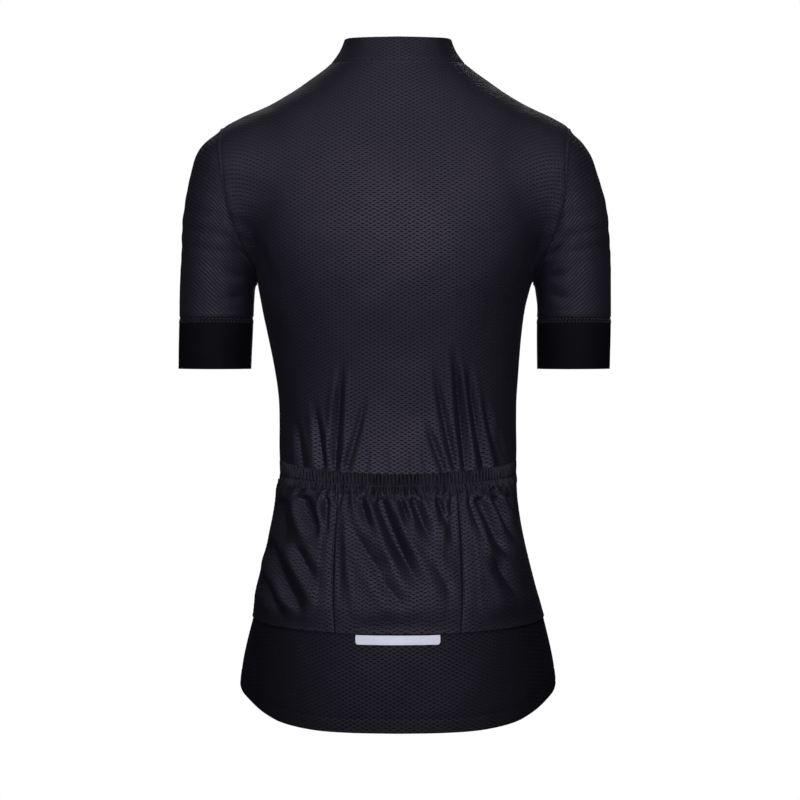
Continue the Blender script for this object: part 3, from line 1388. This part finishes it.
def strip_sheet():
    x = np.linspace(-STRIP_HALF_WIDTH, STRIP_HALF_WIDTH, 81)
    inward = np.clip(STRIP_CORNER - (STRIP_HALF_WIDTH - np.abs(x)), 0, STRIP_CORNER)
    cut = STRIP_CORNER - np.sqrt(STRIP_CORNER**2 - inward**2)
    top_row = hem_plain.points.shape[0] - 1
    column = column_at(hem_plain, top_row, x)
    rows = []
    for share in shares(10):
        distance = STRIP_TOP + (STRIP_HEIGHT - cut) * (1 - share)
        height = hem_plain.v[:, len(hem_plain.v[0]) // 2]
        row = np.interp(height[-1] - distance, height, np.arange(top_row + 1))
        base, out = hem.place(row, column)
        rows.append(base + (LAID_ON + 0.55) * out)
    return Cloth(np.stack(rows), 0.0)


strip = strip_sheet()
keep(shell("reflective_film", strip, FILM, thickness=0.5), "reflective_strip")

# Front zip: two tapes, their coils, and the slider and pull of the frame

ZIP_TAPE_BEHIND = 7
ZIP_TAPE_WALL = 0.9
TOOTH_PITCH = 1.5
TOOTH_REACH = 2.7


def zip_edge(side):
    """The front edge from the hem to the collar's top, with its directions aside and out."""
    sheet = front_sheets[side]
    edge, beside = sheet.points[:, 0], sheet.points[:, 3]
    at = -1 if side == "left" else 0
    near = -4 if side == "left" else 3
    edge = np.concatenate([edge, collar.points[1:, at]])
    beside = np.concatenate([beside, collar.points[1:, near]])
    aside = unit((beside - edge) * np.array([1, 1, 0]))
    run = unit(np.gradient(edge, axis=0))
    out = np.cross(run, aside) * (1 if side == "left" else -1)
    out = unit(out * np.array([0, 1, 1]))
    return edge, aside, out * np.sign(-out[:, 1:2])


def zip_tape(side):
    sign = 1 if side == "left" else -1
    edge, aside, out = zip_edge(side)
    behind = -(SOLID_WALL + LAID_ON)

    def across(x, depth):
        return edge + ((x - sign * edge[:, :1]) / (sign * aside[:, :1])) * aside + depth * out

    section = [(0.5, behind + 0.5), (3.2, behind), (FRONT_EDGE_X + ZIP_TAPE_BEHIND, behind)]
    ring = [across(x, depth) for x, depth in section]
    ring += [across(x, depth - ZIP_TAPE_WALL) for x, depth in section[::-1]]
    rings = np.stack(ring, 1)
    around = rings.shape[1]
    k, i = np.meshgrid(np.arange(len(rings) - 1), np.arange(around), indexing="ij")
    k, i = k.ravel(), i.ravel()
    j = (i + 1) % around
    quads = np.stack([k * around + i, k * around + j, (k + 1) * around + j, (k + 1) * around + i], -1)
    length = np.concatenate([[0], np.cumsum(length_of(np.diff(edge, axis=0)))])
    girth = np.array([0, 2.7, 10, 11, 18, 20.7, 21.2])
    uv = np.stack(
        [
            np.stack([girth[i], length[k]], -1),
            np.stack([girth[i + 1], length[k]], -1),
            np.stack([girth[i + 1], length[k + 1]], -1),
            np.stack([girth[i], length[k + 1]], -1),
        ],
        1,
    )
    return band_object(f"zip_tape_cloth_{side}", rings, quads, uv, TAPE_KNIT), across


def zip_coil(side, across):
    """Rows of coil loops that reach over the middle, the two sides half a pitch apart."""
    sign = 1 if side == "left" else -1
    inner, outer = across(0.15, 0.0), across(TOOTH_REACH, 0.0)
    middle = (inner + outer) / 2
    at, run, index = even_steps(middle[2:-1], TOOTH_PITCH)
    at = at + run * (TOOTH_PITCH / 4 * sign)
    aside = np.tile(np.array([[1.0, 0.0, 0.0]]), (len(at), 1))
    out = unit(np.cross(aside, run))
    out = out * np.sign(-out[:, 1:2])
    points = []
    for place, girth in STITCH_SECTIONS:
        girth = max(girth, 0.35)
        for angle in 2 * np.pi * np.arange(STITCH_SIDES) / STITCH_SIDES:
            points.append(
                at
                + place * (TOOTH_REACH - 0.15) * 1.04 * aside
                + 0.46 * girth * np.cos(angle) * run
                + (0.62 * girth * np.sin(angle) - 0.5) * out
            )
    points = np.stack(points, 1)
    faces = [[i for i in range(STITCH_SIDES)][::-1]]
    quads = []
    for k in range(len(STITCH_SECTIONS) - 1):
        for i in range(STITCH_SIDES):
            j = (i + 1) % STITCH_SIDES
            quads.append(
                [
                    k * STITCH_SIDES + i,
                    k * STITCH_SIDES + j,
                    (k + 1) * STITCH_SIDES + j,
                    (k + 1) * STITCH_SIDES + i,
                ]
            )
    quads = (np.array(quads)[None] + points.shape[1] * np.arange(len(at))[:, None, None]).reshape(-1, 4)
    return joined(f"zip_coil_{side}", [(points.reshape(-1, 3), quads)], COIL)


for side in ("left", "right"):
    tape, across = zip_tape(side)
    keep(tape, f"zip_tape_{side}")
    keep(zip_coil(side, across))

for node in ("zip_slider", "zip_pull"):
    for material_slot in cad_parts[node].material_slots:
        material_slot.material = METAL

# Sewing

STITCH = dict(pitch=2.6, length=2.0, width=0.5)


def sew(name, lines, material, slot, **stitch):
    made = joined(name, [stitches(p, n, **{**STITCH, **stitch}) for p, n in lines], material)
    return keep(made)


low_neck = NECK_SPANS * BACK_COLUMN_CELLS / (columns - 1)
sew(
    "sewing_neck",
    [
        line_at(back, "top", 2.4, 0.5 - low_neck, 0.5 + low_neck),
        line_at(collar, "bottom", 2.0),
    ],
    GREY_THREAD,
    "mesh_fabric",
    pitch=3.0,
    width=0.42,
)
for side in ("left", "right"):
    front = front_sheets[side]
    neck_share = NECK_SPANS * FRONT_COLUMN_CELLS / (front.points.shape[1] - 1)
    sew(
        f"sewing_front_{side}",
        [
            line_at(front, "first", 2.2),
            line_at(front, "bottom", 14.5),
            line_at(front, "top", 2.4, 0.0, neck_share),
            line_at(front, "top", 1.8, neck_share, 1.0),
        ],
        DARK_THREAD,
        "mesh_fabric",
    )
sew("sewing_hem", [line_at(hem, "bottom", 14.5), line_at(hem, "top", 2.0)], DARK_THREAD, "hem_fabric")
elastic_line = elastic_rings[:, ELASTIC_STITCH_RING]
elastic_out = unit(elastic_line * np.array([1, 1, 0]))
sew("sewing_elastic", [(elastic_line + 0.25 * elastic_out, elastic_out)], DARK_THREAD, "pocket_elastic")
sew(
    "sewing_pockets",
    [line_at(pocket_sheets["middle"], edge, 1.6) for edge in ("first", "last")]
    + [line_at(pocket_sheets["right"], "last", 1.6), line_at(pocket_sheets["left"], "first", 1.6)],
    DARK_THREAD,
    "mesh_fabric",
    pitch=2.8,
)
for side in ("left", "right"):
    sleeve, cuff = sleeve_sheets[side], cuff_sheets[side]
    sew(
        f"sewing_cuff_{side}",
        [line_at(cuff, "bottom", 1.1), line_at(cuff, "bottom", 4.3)],
        GREY_THREAD,
        "cuff_elastic",
        pitch=3.5,
        length=1.7,
        width=0.6,
    )
    sew(
        f"sewing_cuff_cross_{side}",
        [line_at(cuff, "bottom", 2.7)],
        DIM_THREAD,
        "cuff_elastic",
        pitch=2.0,
        length=3.2,
        width=0.35,
        turn_deg=66,
    )
    sew(f"sewing_armhole_{side}", [line_at(sleeve, "bottom", 3.2)], DIM_THREAD, "mesh_fabric", width=0.4)

# The sheets as they were cut: width, length and flat area, how each is held, and what it rests on

# Stage: the floor lies as far below the shoulders as under someone standing

FLOOR_Z = -1.38

floor_mesh = bpy.data.meshes.new("floor")
floor_mesh.from_pydata([(-4, -4, FLOOR_Z), (4, -4, FLOOR_Z), (4, 4, FLOOR_Z), (-4, 4, FLOOR_Z)], [], [(0, 1, 2, 3)])
floor = new_object("floor", floor_mesh, plain_floor("pale floor", (0.86, 0.86, 0.87)))
floor.visible_diffuse = False
floor.visible_glossy = False


def area_light(name, place, aim, size, watts):
    light = bpy.data.lights.new(name, "AREA")
    light.shape = "RECTANGLE"
    light.size, light.size_y = size
    light.energy = watts
    put_light(name, light, place, aim)


def put_light(name, light, place, aim):
    made = bpy.data.objects.new(name, light)
    made.location = place
    made.rotation_euler = (Vector(aim) - Vector(place)).to_track_quat("-Z", "Y").to_euler()
    bpy.context.scene.collection.objects.link(made)


def spot_light(name, place, aim, cone_deg, watts):
    light = bpy.data.lights.new(name, "SPOT")
    light.energy = watts
    light.spot_size = math.radians(cone_deg)
    light.spot_blend = 1.0
    light.shadow_soft_size = 0.25
    put_light(name, light, place, aim)


area_light("key", (0, 2.95, 0.1), (0, 0, -0.28), (0.6, 1.7), 49)
area_light("left", (1.55, 2.45, 0.8), (0, 0, -0.2), (0.6, 0.9), 10)
area_light("right", (-1.55, 2.45, 0.8), (0, 0, -0.2), (0.6, 0.9), 10)
area_light("above", (0, 0.9, 2.1), (0, 0, -0.15), (2.4, 0.8), 20)
area_light("front_low", (0, -2.8, -0.85), (0, 0, -0.3), (0.8, 0.5), 50)
area_light("front_high", (0, -2.2, 1.6), (0, 0, -0.2), (1.6, 0.6), 16)
spot_light("left_arm", (2.0, 2.1, 0.6), (0.215, 0, -0.12), 10, 150)
spot_light("right_arm", (-2.0, 2.1, 0.6), (-0.21, 0, -0.12), 10, 150)


def studio_world(backdrop, ambient):
    """A bright plain backdrop, and a much weaker light from all round."""
    world = bpy.data.worlds.new("studio")
    world.use_nodes = True
    tree = world.node_tree
    seen = tree.nodes["Background"]
    seen.inputs[0].default_value = (1, 1, 1, 1)
    seen.inputs[1].default_value = backdrop
    around = tree.nodes.new("ShaderNodeBackground")
    around.inputs[1].default_value = ambient
    around.inputs[0].default_value = (1, 1, 1, 1)
    path = tree.nodes.new("ShaderNodeLightPath")
    either = tree.nodes.new("ShaderNodeMixShader")
    tree.links.new(path.outputs["Is Camera Ray"], either.inputs[0])
    tree.links.new(around.outputs[0], either.inputs[1])
    tree.links.new(seen.outputs[0], either.inputs[2])
    tree.links.new(either.outputs[0], tree.nodes["World Output"].inputs[0])
    bpy.context.scene.world = world


studio_world(1.0, 0.015)

bpy.context.scene.view_settings.view_transform = "Standard"

CAMERA_PLACE = (-0.002, 2.6, -0.3038)
FRAME_HEIGHT = 0.784
SENSOR = 36.0
camera = bpy.data.cameras.new("camera")
camera.sensor_width = SENSOR
camera.lens = SENSOR * CAMERA_PLACE[1] / FRAME_HEIGHT
camera_object = bpy.data.objects.new("camera", camera)
camera_object.location = CAMERA_PLACE
camera_object.rotation_euler = (math.radians(90), 0, math.radians(180))
bpy.context.scene.collection.objects.link(camera_object)
bpy.context.scene.camera = camera_object
